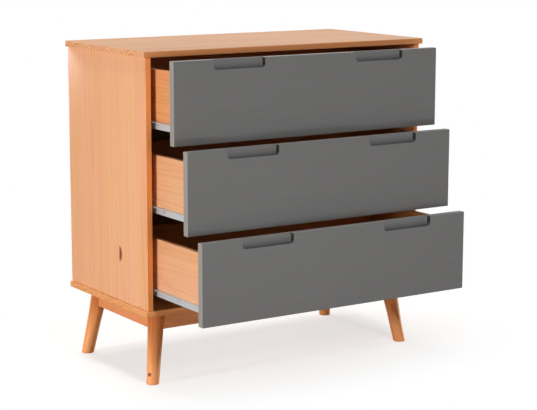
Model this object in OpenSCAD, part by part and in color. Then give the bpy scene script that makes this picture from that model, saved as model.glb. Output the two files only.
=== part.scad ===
// Chest of three drawers in pine: a carcass of glued boards on a frame with four splayed legs,
// lacquered drawer fronts with two finger notches each, and drawer boxes on steel roller runners.
// The drawers stand partly open. X runs to the right, Y to the back, Z up, and every size is in
// millimetres. The origin is on the floor, midway between the left and right edges and midway
// between the face of the bottom drawer, as it stands open, and the back of the carcass.

/* [Carcass] */
// Width over the two side panels
carcass_w = 786; // [600:1:1100]
// Depth of the side panels
carcass_d = 394; // [385:1:600]
// Height of the side panels
side_h = 590; // [540:1:800]
// Thickness of the side panels
side_t = 14; // [13:0.5:22]
// Thickness of the top board
top_t = 14; // [12:0.5:28]
// Thickness of the base board
base_t = 14; // [12:0.5:28]
// How far the top board stands out past each side panel
top_over_side = 7; // [0:0.5:30]
// How far the top board stands out past the front edges of the side panels
top_over_front = 6; // [0:0.5:30]
// How far the base board stands out past each side panel
base_over_side = 5.5; // [0:0.5:30]
// How far the base board stands out past the front edges of the side panels
base_over_front = 4; // [0:0.5:30]
// Thickness of the back panel
back_t = 4; // [3:0.5:8]
// How far the back panel laps into the rebate of the boards round it
back_lap = 7; // [5:0.5:9]

/* [Leg frame] */
// Height of the base board's underside above the floor
leg_h = 170; // [120:1:250]
// Diameter of a leg at the floor
leg_foot_d = 30; // [22:1:40]
// Diameter of a leg at the base board
leg_top_d = 40; // [32:1:50]
// Sideways lean of a leg for each millimetre of height, the same in X and in Y
leg_lean = 0.155; // [0.05:0.005:0.22]
// Distance from the outer face of a side panel to the middle of a foot
foot_from_side = 26; // [18:1:60]
// Distance from the front edges, and from the back edges, to the middle of a foot
foot_from_front = 28; // [18:1:60]
// Height of the aprons
apron_h = 45; // [38:1:70]
// Thickness of the aprons
apron_t = 18; // [14:1:24]
// Thickness of the corner blocks, measured across the corner
block_t = 18; // [16:1:25]
// How far the corner blocks end above the lower edges of the aprons
block_rise = 10; // [2:1:14]

/* [Drawer fronts] */
// Thickness of the drawer fronts
front_t = 18; // [16:0.5:22]
// Gap between the end of a front and the side panel
front_gap_side = 5.5; // [4.5:0.5:8]
// Gap between two fronts
front_gap = 5; // [2:0.5:8]
// Gap between a front and the top or base board
front_gap_end = 3; // [2:0.5:8]
// Width of a finger notch
notch_w = 139; // [80:1:160]
// Height of a finger notch
notch_h = 24; // [16:1:40]
// Depth of a finger notch, from the face of the front
notch_depth = 12; // [5:0.5:13]
// Radius of the lower corners of a finger notch
notch_r = 9; // [3:0.5:12]
// Distance from the end of a front to its finger notch
notch_margin = 105.5; // [40:0.5:120]

/* [Drawer boxes] */
// Thickness of the sides and backs of the drawer boxes
box_t = 12; // [12:0.5:16]
// How far the drawer sides end below the top edge of the front
box_drop = 24.5; // [10:0.5:40]
// Thickness of the drawer bottoms
bottom_t = 4; // [3:0.5:6]
// Height of a drawer bottom above the lower edge of the drawer side
bottom_rise = 11; // [10:0.5:20]
// Depth of the grooves that hold a drawer bottom
groove_depth = 6; // [4:0.5:7]

/* [Drawer positions] */
// How far the top drawer stands open
top_open = 93.5; // [0:0.5:220]
// How far the middle drawer stands open
middle_open = 151.5; // [0:0.5:220]
// How far the bottom drawer stands open
bottom_open = 213.5; // [0:0.5:220]

/* [Runners] */
// Length of the runners and of the drawer rails
rail_l = 350; // [320:1:355]
// How much of the rails stays inside the carcass when a drawer is fully open
rail_overlap = 90; // [75:1:100]
// Gap between a drawer side and the side panel, which holds the runner
runner_gap = 12.5; // [12.5:0.1:14]
// Sheet thickness of the runners and rails
metal_t = 1.2; // [1:0.1:1.5]
// Height of a drawer rail
rail_h = 17; // [16:0.5:22]
// Height of a drawer rail's underside above the lower edge of the front
rail_up = 30.3; // [24:0.1:40]
// Distance from the back of a front to the near end of the runner
runner_setback = 2; // [1:0.5:6]
// Height of the strip that takes the runner's screws, above its upper flange
runner_strip = 11; // [9:0.5:16]
// Length of the small nose at the near end of a drawer rail
nose_l = 4; // [2:0.5:8]
// Diameter of the rollers
roller_d = 14; // [12:0.5:14.5]
// Width of the rollers
roller_w = 8; // [6:0.1:8]
// Diameter of the roller axles
axle_d = 4; // [3:0.1:5]
// Diameter of the flat heads of the roller axles
axle_head_d = 6; // [5.5:0.1:7]
// Thickness of the flat heads of the roller axles
axle_head_t = 0.5; // [0.3:0.1:0.6]
// Distance from a roller's axle to the end of its runner or rail
axle_setback = 12; // [9:0.5:16]
// Depth of the ring that is sunk into both faces of a roller
roller_sunk = 1; // [0.5:0.1:2]
// Thickness of a roller's rim, outside that ring
roller_rim = 1.1; // [0.6:0.1:1.8]
// Thickness of a roller's hub, inside that ring
roller_hub = 1.4; // [0.8:0.1:2]
// Height of the small stops that are bent up from the runner
stop_h = 4; // [2:0.5:6]

/* [Screws and fittings] */
// Distance from the near end of a runner to its first screw
runner_screw_first = 35; // [20:1:60]
// Distance from the last screw of a runner to the runner's far end
runner_screw_last = 28; // [15:1:60]
// Distance from the near end of a rail to its first screw
rail_screw_first = 98; // [60:1:130]
// Distance from the last screw of a rail to the rail's far end
rail_screw_last = 44; // [30:1:60]
// Distance from the first to the second screw of a runner or rail, a multiple of 32
screw_pitch = 128; // [96:32:160]
// Diameter of the screws that hold the runners and rails
runner_screw_d = 3.5; // [3:0.1:4]
// Diameter of the round heads of the runner screws
runner_screw_head_d = 7; // [6:0.1:8]
// Diameter of the flat heads of the rail screws
rail_screw_head_d = 6; // [5:0.1:7]
// Length of those screws from the metal's face
runner_screw_l = 11; // [8:0.5:12]
// Height of the round heads of the runner screws
pan_h = 2; // [1.2:0.1:3]
// Diameter of the long screws through the base board and the drawer sides
long_screw_d = 4; // [3.5:0.1:5]
// Head diameter of the long screws
long_screw_head_d = 8; // [7:0.1:10]
// Length of the screws up into the side panels
base_screw_l = 50; // [35:1:70]
// Distance from the front edge, and from the back edge, of a side panel to those screws
base_screw_edge = 60; // [30:1:100]
// How far the screws through the corner blocks enter the base board
block_screw_in = 11; // [8:0.5:11.5]
// Length of the screws into the ends of the drawer backs
box_screw_l = 35; // [25:1:50]
// Distance from the lower edge, and from the upper edge, of a drawer back to those screws
box_screw_edge = 24; // [12:1:35]
// Diameter of the small screws round the back panel and under the drawer bottoms
small_screw_d = 2.5; // [2:0.1:3]
// Head diameter of the small screws
small_screw_head_d = 5.5; // [4.5:0.1:6.5]
// Length of the small screws
small_screw_l = 16; // [12:1:20]
// Diameter of the dowels between the side panels and the top board
dowel_d = 8; // [6:1:8]
// Length of the dowels
dowel_l = 30; // [25:1:40]
// Length of dowel that enters the top board
dowel_in_top = 8; // [6:0.5:10]
// Distance from the front edge, and from the back edge, of a side panel to the dowels
dowel_edge = 48; // [25:1:90]
// Diameter of the cams that lock a front to its drawer sides
cam_d = 15; // [12:0.5:20]
// Thickness of the cams
cam_t = 9; // [8:0.5:11]
// Width and depth of the cross slots in the cams
cam_slot = 1.2; // [0.8:0.1:1.5]
// Distance from the back of a front to the middle of a cam
cam_back = 24; // [18:1:34]
// Diameter of the cam bolts
cam_bolt_d = 6; // [5:0.5:7]
// Depth that a cam bolt screws into the front
cam_bolt_in = 11; // [8:0.5:12]
// Diameter of the bolts that hold the legs
leg_bolt_d = 6; // [5:1:8]
// How far a leg bolt runs past the axis of its leg
leg_bolt_past = 8; // [4:1:12]
// Diameter of the washer under a leg bolt's nut
washer_d = 18; // [14:1:22]
// Thickness of that washer
washer_t = 1.5; // [1:0.1:2]
// Width across the flats of the nut
nut_af = 10; // [8:1:13]
// Thickness of the nut
nut_t = 5; // [4:0.5:8]
// Length of thread that stands out of the nut
bolt_tail = 4; // [1:0.5:8]

/* [Clearances] */
// Radial clearance between a roller and its axle
axle_clear = 0.05; // [0.02:0.01:0.1]
// Radial clearance round screws, dowels and cams in their holes
hole_clear = 0.05; // [0.02:0.01:0.2]
// Radial clearance round a leg bolt in its corner block
bolt_clear = 0.25; // [0.1:0.05:0.5]
// Gap that is left where two pieces meet without touching
seat_gap = 0.3; // [0.1:0.05:0.5]
// Clearance round a panel in its groove or rebate
panel_clear = 0.2; // [0.1:0.05:0.5]
// Gap between a rail and the flange above it
rail_play = 0.7; // [0.5:0.1:1.5]
// Sideways gap between a roller and the web that carries it
roller_side_gap = 0.7; // [0.4:0.1:1]
// Sideways gap between the flanges and the web that they run along
flange_gap = 1.2; // [0.8:0.1:1.6]

/* [Hidden] */
$fn = 48;

LEVELS = ["bottom", "middle", "top"];
SIDES = ["left", "right"];
// Direction of each of the SIDES along X
SIGNS = [-1, 1];

pine = [0.90, 0.68, 0.47];
pine_dark = [0.82, 0.55, 0.34];
ply = [0.80, 0.66, 0.48];
lacquer = [0.42, 0.42, 0.41];
steel = [0.78, 0.79, 0.80];
nylon = [0.93, 0.93, 0.90];
beech = [0.86, 0.72, 0.54];

// Overshoot of a cut past the face that it opens
over = 1;

half_w = carcass_w / 2;
side_in = half_w - side_t;
base_top = leg_h + base_t;
top_z = base_top + side_h;
// The origin lies midway between the bottom drawer's face and the back of the carcass
centre_y = (carcass_d - max(bottom_open, middle_open, top_open, top_over_front)) / 2;

front_w = 2 * (side_in - front_gap_side);
front_h = (side_h - 2 * front_gap_end - 2 * front_gap) / 3;
opens = [bottom_open, middle_open, top_open];
travel = rail_l - rail_overlap;
function front_z(i) = base_top + front_gap_end + i * (front_h + front_gap);
function rail_z(i) = front_z(i) + rail_up;
function box_z(i) = rail_z(i) + metal_t;
box_h = front_h - rail_up - metal_t - box_drop;
box_out = side_in - runner_gap;
box_in = box_out - box_t;
box_end = front_t + rail_l;

roller_r = roller_d / 2;
flange_reach = runner_gap - metal_t - flange_gap;
front_axle_up = rail_h - metal_t - seat_gap - roller_r;
track_up = front_axle_up - roller_r - rail_play;
rear_axle_up = track_up + seat_gap + roller_r;
keeper_up = rail_h + rail_play;
web_up = keeper_up + metal_t + runner_strip;
runner_start = front_t + runner_setback;
front_axle_y = runner_start + axle_setback;
rear_axle_y = box_end - axle_setback;
runner_screw_up = keeper_up + metal_t + runner_strip / 2 + seat_gap;
rail_screw_up = rail_h / 2;
runner_screw_1 = runner_start + runner_screw_first;
runner_screw_y = [runner_screw_1, runner_screw_1 + screw_pitch,
    runner_start + rail_l - runner_screw_last];
rail_screw_1 = front_t + rail_screw_first;
rail_screw_y = [rail_screw_1, rail_screw_1 + screw_pitch, box_end - rail_screw_last];

bottom_z = bottom_rise + metal_t;
bottom_half_w = box_in + groove_depth - panel_clear;
cam_up = [bottom_rise + bottom_t + cam_d, box_h - cam_d];
box_screw_up = [bottom_rise + bottom_t + box_screw_edge, box_h - box_screw_edge];
box_mid = box_out - box_t / 2;

// Middle planes of the aprons, which meet the legs' axes at half the aprons' height
apron_side = foot_from_side + leg_lean * (leg_h - apron_h / 2);
apron_front = foot_from_front + leg_lean * (leg_h - apron_h / 2);
lean_angle = atan(leg_lean * sqrt(2));
leg_length = leg_h / cos(lean_angle);
block_h = apron_h - block_rise;
block_screw_l = block_h + block_screw_in;
bolt_z = leg_h - block_h / 2;
// Distances along the inward diagonal of a corner, from the corner of the aprons' inner faces
block_near = sqrt(2) * (leg_lean * apron_h - apron_t) / 2 + leg_top_d / 2 / cos(lean_angle) + seat_gap;
bolt_axis = sqrt(2) * (leg_lean * (bolt_z - leg_h + apron_h / 2) - apron_t / 2);
block_far = block_near + block_t;
block_screw_off = leg_bolt_d / 2 + washer_d / 2;

dowel_y = [dowel_edge, carcass_d / 2, carcass_d - dowel_edge];
base_screw_y = [base_screw_edge, carcass_d / 2, carcass_d - base_screw_edge];
base_screw_x = half_w - side_t / 2;
back_half_w = side_in + back_lap;
back_low = base_top - back_lap;
back_high = top_z + back_lap;
back_screws = concat(
    [for (s = [-1, 1]) for (k = [0:3])
        [s * (side_in + back_lap / 2), base_top + side_h * (k + 0.5) / 4]],
    [for (z = [base_top - back_lap / 2, top_z + back_lap / 2]) for (k = [0:3])
        [side_in * (2 * k - 3) / 4, z]]);
floor_screws = [for (k = [-1:1]) k * box_in * 2 / 3];

// Moves what is modelled from the side panels' front plane to the origin
module placed() {
    translate([0, -centre_y, 0]) children();
}

// The same, for what rides with drawer i, which is modelled closed
module in_drawer(i) {
    translate([0, -centre_y - opens[i], 0]) children();
}

// Takes what is modelled on the right to side s, where -1 is the left
module on_side(s) {
    if (s > 0)
        children();
    else
        mirror([1, 0, 0]) children();
}

// Takes what is modelled at the right front corner to any corner
module at_corner(s, rear) {
    on_side(s)
        if (rear)
            translate([0, carcass_d, 0]) mirror([0, 1, 0]) children();
        else
            children();
}

// A block between two opposite corners
module span(a, b) {
    translate(a) cube(b - a);
}

// A block beside the right side panel: u runs inwards from the panel's inner face
module bar(u, y, z) {
    span([side_in - u[1], y[0], z[0]], [side_in - u[0], y[1], z[1]]);
}

// A cylinder along X beside the right side panel, between the distances u
module pin(u, y, z, d) {
    translate([side_in - u[1], y, z]) rotate([0, 90, 0]) cylinder(d = d, h = u[1] - u[0]);
}

// A countersunk screw whose head is flush at z = 0 and whose point is at z = l
module flush_screw(d, head_d, l) {
    cylinder(d1 = head_d, d2 = d, h = (head_d - d) / 2);
    cylinder(d = d, h = l);
}

// The hole for that screw
module flush_hole(d, head_d, l) {
    translate([0, 0, -over]) cylinder(d = head_d + 2 * hole_clear, h = over);
    flush_screw(d + 2 * hole_clear, head_d + 2 * hole_clear, l + seat_gap);
}

// A round-headed screw whose head stands below z = 0 and whose point is at z = l
module pan_screw(d, head_d, l) {
    translate([0, 0, -pan_h]) cylinder(d1 = head_d - pan_h, d2 = head_d, h = pan_h / 2);
    translate([0, 0, -pan_h / 2]) cylinder(d = head_d, h = pan_h / 2);
    cylinder(d = d, h = l);
}

module pan_hole(d, l) {
    translate([0, 0, -over]) cylinder(d = d + 2 * hole_clear, h = l + over + seat_gap);
}

// Places of the screws, each with the screw's own z axis into the material
module at_base_screws() {
    for (s = SIGNS) on_side(s)
        for (y = base_screw_y)
            translate([base_screw_x, y, leg_h]) children();
}

module at_back_screws() {
    for (p = back_screws)
        translate([p[0], carcass_d, p[1]]) rotate([90, 0, 0]) children();
}

module at_block_screws() {
    for (s = SIGNS) for (rear = [false, true]) at_corner(s, rear)
        at_block()
            for (side = SIGNS)
                translate([(block_near + block_far) / 2, side * block_screw_off, leg_h - block_h])
                    children();
}

module at_runner_screws(i) {
    for (y = runner_screw_y)
        translate([side_in - metal_t, y, rail_z(i) + runner_screw_up]) rotate([0, 90, 0])
            children();
}

module at_rail_screws(i) {
    for (y = rail_screw_y)
        translate([box_out + metal_t, y, rail_z(i) + rail_screw_up]) rotate([0, -90, 0])
            children();
}

module at_box_screws(i) {
    for (up = box_screw_up)
        translate([box_out, box_end - box_t / 2, box_z(i) + up]) rotate([0, -90, 0]) children();
}

module at_floor_screws(i) {
    for (x = floor_screws)
        translate([x, box_end - box_t / 2, rail_z(i) + bottom_z]) children();
}

module at_cams(i) {
    for (up = cam_up)
        translate([box_mid, front_t, box_z(i) + up]) children();
}

module at_dowels() {
    for (y = dowel_y)
        translate([half_w - side_t / 2, y, top_z + dowel_in_top - dowel_l]) children();
}

// The corner of the aprons' inner faces, with x along the inward diagonal
module at_block() {
    translate([half_w - apron_side - apron_t / 2, apron_front + apron_t / 2, 0])
        rotate([0, 0, 135]) children();
}

// The tapered round of the right front leg, longer than the leg at both ends
module leg_round(grow) {
    taper = (leg_top_d - leg_foot_d) / 2 / leg_length;
    more = leg_top_d;
    translate([half_w - foot_from_side, foot_from_front, 0])
        rotate([0, lean_angle, 135])
            translate([0, 0, -more])
                cylinder(r1 = leg_foot_d / 2 - taper * more + grow,
                    r2 = leg_top_d / 2 + taper * more + grow, h = leg_length + 2 * more);
}

module leg_bolt_hole(clear, l) {
    at_block() translate([bolt_axis - leg_bolt_past - seat_gap, 0, bolt_z]) rotate([0, 90, 0])
        cylinder(d = leg_bolt_d + 2 * clear, h = l);
}

module top_board() {
    placed() color(pine) difference() {
        span([-half_w - top_over_side, -top_over_front, top_z],
            [half_w + top_over_side, carcass_d, top_z + top_t]);
        span([-back_half_w - panel_clear, carcass_d - back_t, top_z - over],
            [back_half_w + panel_clear, carcass_d + over, back_high + panel_clear]);
        for (s = SIGNS) on_side(s) at_dowels()
            cylinder(d = dowel_d + 2 * hole_clear, h = dowel_l + seat_gap);
        at_back_screws() flush_hole(small_screw_d, small_screw_head_d, small_screw_l);
    }
}

module side_panel(s) {
    placed() color(pine) difference() {
        on_side(s) difference() {
            span([side_in, 0, base_top], [half_w, carcass_d, top_z]);
            span([side_in - over, carcass_d - back_t, base_top - over],
                [back_half_w + panel_clear, carcass_d + over, top_z + over]);
            at_dowels() translate([0, 0, -seat_gap])
                cylinder(d = dowel_d + 2 * hole_clear, h = dowel_l + over);
            for (i = [0:2])
                at_runner_screws(i) pan_hole(runner_screw_d, runner_screw_l);
        }
        at_base_screws() flush_hole(long_screw_d, long_screw_head_d, base_screw_l);
        at_back_screws() flush_hole(small_screw_d, small_screw_head_d, small_screw_l);
    }
}

module base_board() {
    placed() color(pine) difference() {
        span([-half_w - base_over_side, -base_over_front, leg_h],
            [half_w + base_over_side, carcass_d, base_top]);
        span([-back_half_w - panel_clear, carcass_d - back_t, back_low - panel_clear],
            [back_half_w + panel_clear, carcass_d + over, base_top + over]);
        at_base_screws() flush_hole(long_screw_d, long_screw_head_d, base_screw_l);
        at_back_screws() flush_hole(small_screw_d, small_screw_head_d, small_screw_l);
        at_block_screws() flush_hole(long_screw_d, long_screw_head_d, block_screw_l);
    }
}

module back_panel() {
    placed() color(ply) difference() {
        span([-back_half_w, carcass_d - back_t, back_low], [back_half_w, carcass_d, back_high]);
        at_back_screws() flush_hole(small_screw_d, small_screw_head_d, small_screw_l);
    }
}

module all_leg_rounds(grow) {
    for (s = SIGNS) for (rear = [false, true]) at_corner(s, rear) leg_round(grow);
}

module cross_apron(rear) {
    placed() color(pine_dark) difference() {
        at_corner(1, rear)
            span([-half_w + apron_side, apron_front - apron_t / 2, leg_h - apron_h],
                [half_w - apron_side, apron_front + apron_t / 2, leg_h]);
        all_leg_rounds(seat_gap / 2);
    }
}

module side_apron(s) {
    placed() color(pine_dark) difference() {
        on_side(s)
            span([half_w - apron_side - apron_t / 2, apron_front, leg_h - apron_h],
                [half_w - apron_side + apron_t / 2, carcass_d - apron_front, leg_h]);
        all_leg_rounds(seat_gap / 2);
    }
}

module leg(s, rear) {
    placed() color(pine_dark) at_corner(s, rear) difference() {
        intersection() {
            leg_round(0);
            span([0, -carcass_d, 0], [carcass_w, carcass_d, leg_h]);
        }
        leg_bolt_hole(hole_clear, leg_top_d * 2);
    }
}

module corner_blocks() {
    placed() color(pine_dark) for (s = SIGNS) for (rear = [false, true]) difference() {
        at_corner(s, rear) difference() {
            at_block() translate([0, 0, leg_h - block_h]) linear_extrude(block_h)
                polygon([[block_near, -block_near], [block_far, -block_far],
                    [block_far, block_far], [block_near, block_near]]);
            leg_bolt_hole(bolt_clear, leg_top_d * 3);
        }
        at_block_screws() flush_hole(long_screw_d, long_screw_head_d, block_screw_l);
    }
}

module leg_bolts() {
    placed() color(steel) for (s = SIGNS) for (rear = [false, true]) at_corner(s, rear)
        at_block() translate([0, 0, bolt_z]) rotate([0, 90, 0]) {
            translate([0, 0, bolt_axis - leg_bolt_past])
                cylinder(d = leg_bolt_d,
                    h = block_far - bolt_axis + leg_bolt_past + washer_t + nut_t + bolt_tail);
            translate([0, 0, block_far]) cylinder(d = washer_d, h = washer_t);
            translate([0, 0, block_far + washer_t])
                cylinder(d = nut_af / cos(30), h = nut_t, $fn = 6);
        }
}

module carcass_screws() {
    placed() color(steel) {
        at_base_screws() flush_screw(long_screw_d, long_screw_head_d, base_screw_l);
        at_back_screws() flush_screw(small_screw_d, small_screw_head_d, small_screw_l);
        at_block_screws() flush_screw(long_screw_d, long_screw_head_d, block_screw_l);
    }
}

module carcass_dowels() {
    placed() color(beech) for (s = SIGNS) on_side(s)
        at_dowels() cylinder(d = dowel_d, h = dowel_l);
}

module runner_screws() {
    placed() color(steel) for (s = SIGNS) on_side(s) for (i = [0:2])
        at_runner_screws(i) pan_screw(runner_screw_d, runner_screw_head_d, runner_screw_l);
}

module runner(i, s) {
    ends = [runner_start, runner_start + rail_l];
    z = rail_z(i);
    front_stop_y = rear_axle_y - travel - roller_r - seat_gap;
    rear_stop_y = rear_axle_y + roller_r + seat_gap;
    head = metal_t + roller_side_gap + roller_w + seat_gap;
    placed() color(steel) on_side(s) difference() {
        union() {
            bar([0, metal_t], ends, [z + track_up - metal_t, z + web_up]);
            bar([0, flange_reach], ends, [z + track_up - metal_t, z + track_up]);
            bar([0, flange_reach], ends, [z + keeper_up, z + keeper_up + metal_t]);
            for (y = [front_stop_y - metal_t, rear_stop_y])
                bar([2 * metal_t, flange_reach], [y, y + metal_t],
                    [z + track_up - metal_t, z + track_up + stop_h]);
            pin([0, head], front_axle_y, z + front_axle_up, axle_d);
            pin([head, head + axle_head_t], front_axle_y, z + front_axle_up, axle_head_d);
        }
        at_runner_screws(i) pan_hole(runner_screw_d, runner_screw_l);
    }
}

module front_roller(i, s) {
    u = metal_t + roller_side_gap;
    placed() on_side(s) roller([u, u + roller_w], front_axle_y, rail_z(i) + front_axle_up);
}

module rear_roller(i, s) {
    u = runner_gap - metal_t - roller_side_gap;
    in_drawer(i) on_side(s) roller([u - roller_w, u], rear_axle_y, rail_z(i) + rear_axle_up);
}

// A roller with a shallow ring sunk into both faces
module roller(u, y, z) {
    color(nylon) difference() {
        pin(u, y, z, roller_d);
        pin([u[0] - over, u[1] + over], y, z, axle_d + 2 * axle_clear);
        for (face = [[u[0] - over, u[0] + roller_sunk], [u[1] - roller_sunk, u[1] + over]])
            difference() {
                pin(face, y, z, roller_d - 2 * roller_rim);
                pin(face, y, z, axle_d + 2 * roller_hub);
            }
    }
}

module drawer_rail(i, s) {
    outer = metal_t + 2 * roller_side_gap;
    web = runner_gap - metal_t;
    head = web - roller_side_gap - roller_w - seat_gap;
    ends = [front_t, box_end];
    z = rail_z(i);
    in_drawer(i) color(steel) on_side(s) difference() {
        union() {
            bar([web, runner_gap], ends, [z, z + rail_h]);
            bar([web, runner_gap + box_t], ends, [z, z + metal_t]);
            bar([outer, web], [front_t, rear_axle_y - roller_r - 2 * rail_play],
                [z + rail_h - metal_t, z + rail_h]);
            bar([outer, front_gap_side - seat_gap], [front_t - nose_l, front_t],
                [z + rail_h - metal_t, z + rail_h]);
            pin([head, runner_gap], rear_axle_y, z + rear_axle_up, axle_d);
            pin([head - axle_head_t, head], rear_axle_y, z + rear_axle_up, axle_head_d);
        }
        at_rail_screws(i) flush_hole(runner_screw_d, rail_screw_head_d, runner_screw_l);
    }
}

// Outline of a finger notch, open at the top, with its lower edge at y = 0
module notch_outline() {
    half = notch_w / 2;
    translate([-half, notch_r]) square([notch_w, notch_h - notch_r + over]);
    translate([-half + notch_r, 0]) square([notch_w - 2 * notch_r, notch_h]);
    for (s = SIGNS)
        translate([s * (half - notch_r), notch_r]) circle(notch_r);
}

module drawer_front(i) {
    z = front_z(i);
    in_drawer(i) color(lacquer) difference() {
        span([-front_w / 2, 0, z], [front_w / 2, front_t, z + front_h]);
        for (s = SIGNS) on_side(s) {
            translate([front_w / 2 - notch_margin - notch_w / 2, notch_depth, z + front_h - notch_h])
                rotate([90, 0, 0]) linear_extrude(notch_depth + over) notch_outline();
            at_cams(i) translate([0, over, 0]) rotate([90, 0, 0])
                cylinder(d = cam_bolt_d + 2 * hole_clear, h = cam_bolt_in + over + seat_gap);
        }
        span([-bottom_half_w - panel_clear, front_t - groove_depth, rail_z(i) + bottom_z],
            [bottom_half_w + panel_clear, front_t + over, rail_z(i) + bottom_z + bottom_t + panel_clear]);
    }
}

module drawer_side(i, s) {
    z = box_z(i);
    in_drawer(i) color(pine) on_side(s) difference() {
        span([box_in, front_t, z], [box_out, box_end, z + box_h]);
        span([box_in - over, front_t - over, rail_z(i) + bottom_z],
            [box_in + groove_depth, box_end + over, rail_z(i) + bottom_z + bottom_t + panel_clear]);
        at_cams(i) {
            translate([0, -over, 0]) rotate([-90, 0, 0])
                cylinder(d = cam_bolt_d + 2 * hole_clear, h = cam_back + over);
            translate([-box_t / 2 - over, cam_back, 0]) rotate([0, 90, 0])
                cylinder(d = cam_d + 2 * hole_clear, h = cam_t + over + seat_gap);
        }
        at_box_screws(i) flush_hole(long_screw_d, long_screw_head_d, box_screw_l);
        at_rail_screws(i) flush_hole(runner_screw_d, rail_screw_head_d, runner_screw_l);
    }
}

module drawer_back(i) {
    in_drawer(i) color(pine) difference() {
        span([-box_in, box_end - box_t, rail_z(i) + bottom_z + bottom_t],
            [box_in, box_end, box_z(i) + box_h]);
        for (s = SIGNS) on_side(s)
            at_box_screws(i) flush_hole(long_screw_d, long_screw_head_d, box_screw_l);
        at_floor_screws(i) flush_hole(small_screw_d, small_screw_head_d, small_screw_l);
    }
}

module drawer_bottom(i) {
    in_drawer(i) color(ply) difference() {
        span([-bottom_half_w, front_t - groove_depth + panel_clear, rail_z(i) + bottom_z],
            [bottom_half_w, box_end, rail_z(i) + bottom_z + bottom_t]);
        at_floor_screws(i) flush_hole(small_screw_d, small_screw_head_d, small_screw_l);
    }
}

// Cams and cam bolts of the front, the screws of the rails, the back and the bottom
module drawer_fittings(i) {
    slot_d = cam_bolt_d + 2 * hole_clear;
    in_drawer(i) color(steel) {
        for (s = SIGNS) on_side(s) {
            at_cams(i) {
                translate([0, -cam_bolt_in, 0]) rotate([-90, 0, 0])
                    cylinder(d = cam_bolt_d, h = cam_bolt_in + cam_back);
                difference() {
                    translate([-box_t / 2, cam_back, 0]) rotate([0, 90, 0]) cylinder(d = cam_d, h = cam_t);
                    rotate([-90, 0, 0]) cylinder(d = slot_d, h = cam_back + seat_gap);
                    for (turn = [45, 135])
                        translate([-box_t / 2 - over, cam_back, 0]) rotate([turn, 0, 0])
                            translate([0, -cam_d / 3, -cam_slot / 2])
                                cube([over + cam_slot, cam_d * 2 / 3, cam_slot]);
                }
            }
            at_rail_screws(i) flush_screw(runner_screw_d, rail_screw_head_d, runner_screw_l);
            at_box_screws(i) flush_screw(long_screw_d, long_screw_head_d, box_screw_l);
        }
        at_floor_screws(i) flush_screw(small_screw_d, small_screw_head_d, small_screw_l);
    }
}

top_board();
side_panel(-1);  // left_side_panel
side_panel(1);  // right_side_panel
base_board();
back_panel();
cross_apron(false);  // front_apron
cross_apron(true);  // rear_apron
side_apron(-1);  // left_apron
side_apron(1);  // right_apron
corner_blocks();
leg_bolts();
carcass_screws();
carcass_dowels();
runner_screws();
leg(-1, false);  // front_left_leg
leg(1, false);  // front_right_leg
leg(-1, true);  // rear_left_leg
leg(1, true);  // rear_right_leg
for (i = [0:2]) {
    level = LEVELS[i];
    drawer_front(i);
    drawer_back(i);
    drawer_bottom(i);
    drawer_fittings(i);
    for (k = [0:1]) {
        place = str(level, "_", SIDES[k]);
        drawer_side(i, SIGNS[k]);
        drawer_rail(i, SIGNS[k]);
        runner(i, SIGNS[k]);
        front_roller(i, SIGNS[k]);
        rear_roller(i, SIGNS[k]);
    }
}
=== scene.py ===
"""Looks, lamps and camera of a three-drawer chest: lacquered pine, grey fronts and zinc runners.

Metres, in the frame's axes: X to the right, Y to the back, Z up. Patterns are worked out in millimetres.
"""

import math
from collections import namedtuple

import bmesh
import bpy
import mathutils
import numpy as np
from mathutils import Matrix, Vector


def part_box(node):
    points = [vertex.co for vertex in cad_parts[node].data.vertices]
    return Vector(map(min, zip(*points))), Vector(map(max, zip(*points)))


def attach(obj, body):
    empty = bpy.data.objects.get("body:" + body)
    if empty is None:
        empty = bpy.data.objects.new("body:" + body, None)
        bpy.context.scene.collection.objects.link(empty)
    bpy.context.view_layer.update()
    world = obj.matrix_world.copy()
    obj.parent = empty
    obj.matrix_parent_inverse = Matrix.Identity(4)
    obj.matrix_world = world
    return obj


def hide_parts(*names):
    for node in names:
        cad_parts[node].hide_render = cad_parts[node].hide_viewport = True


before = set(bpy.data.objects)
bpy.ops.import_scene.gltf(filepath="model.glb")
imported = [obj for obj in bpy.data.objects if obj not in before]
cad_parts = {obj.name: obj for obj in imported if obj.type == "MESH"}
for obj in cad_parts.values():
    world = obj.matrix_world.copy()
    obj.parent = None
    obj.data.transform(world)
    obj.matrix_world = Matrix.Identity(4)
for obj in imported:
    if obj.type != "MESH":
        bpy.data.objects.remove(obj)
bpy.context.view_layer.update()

X, Y, Z = 0, 1, 2
LEVELS = ("bottom", "middle", "top")
SIDES = ("left", "right")
# Millimetres in a metre
MM = 1000
# Points nearer to each other than MERGE are one point, and places that differ by less than SAME are level
MERGE, SAME = 1e-6, 1e-5

# Rounding of the boards' arrises, of the lacquered fronts' arrises and of the legs' feet
BOARD_ARRIS = 0.0014
FRONT_ARRIS = 0.0011
FOOT_ARRIS = 0.0018
# Radius of a front's four corners, seen from the front
FRONT_CORNER_R = 0.00165
# Finger notches: width, height, depth, radius of the lower and upper corners, distance from the front's end
NOTCH_W, NOTCH_H, NOTCH_D, NOTCH_R, NOTCH_LIP_R, NOTCH_MARGIN = 0.139, 0.024, 0.012, 0.009, 0.0025, 0.1055
# Painted shade: the share of near-black on the lowest line of a notch's back, where its walls have it all
NOTCH_BACK_SHADE = 0.97
# In degrees: faces that meet at less than FLAT_ANGLE are one, and edges sharper than ARRIS_ANGLE are rounded
FLAT_ANGLE, ARRIS_ANGLE = 0.5, 50
# Points round a leg
LEG_POINTS = 64

# Camera: place, heading, tilt and roll in degrees, and focal length in pixels of a 537 pixel wide picture
CAMERA_PLACE = (-2.171, -3.321, 1.091)
CAMERA_HEADING, CAMERA_TILT, CAMERA_ROLL = -33.17, -10.09, 0.10
PICTURE_W, FOCAL_PX, SENSOR_W = 537, 1626.8, 36.0
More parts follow.
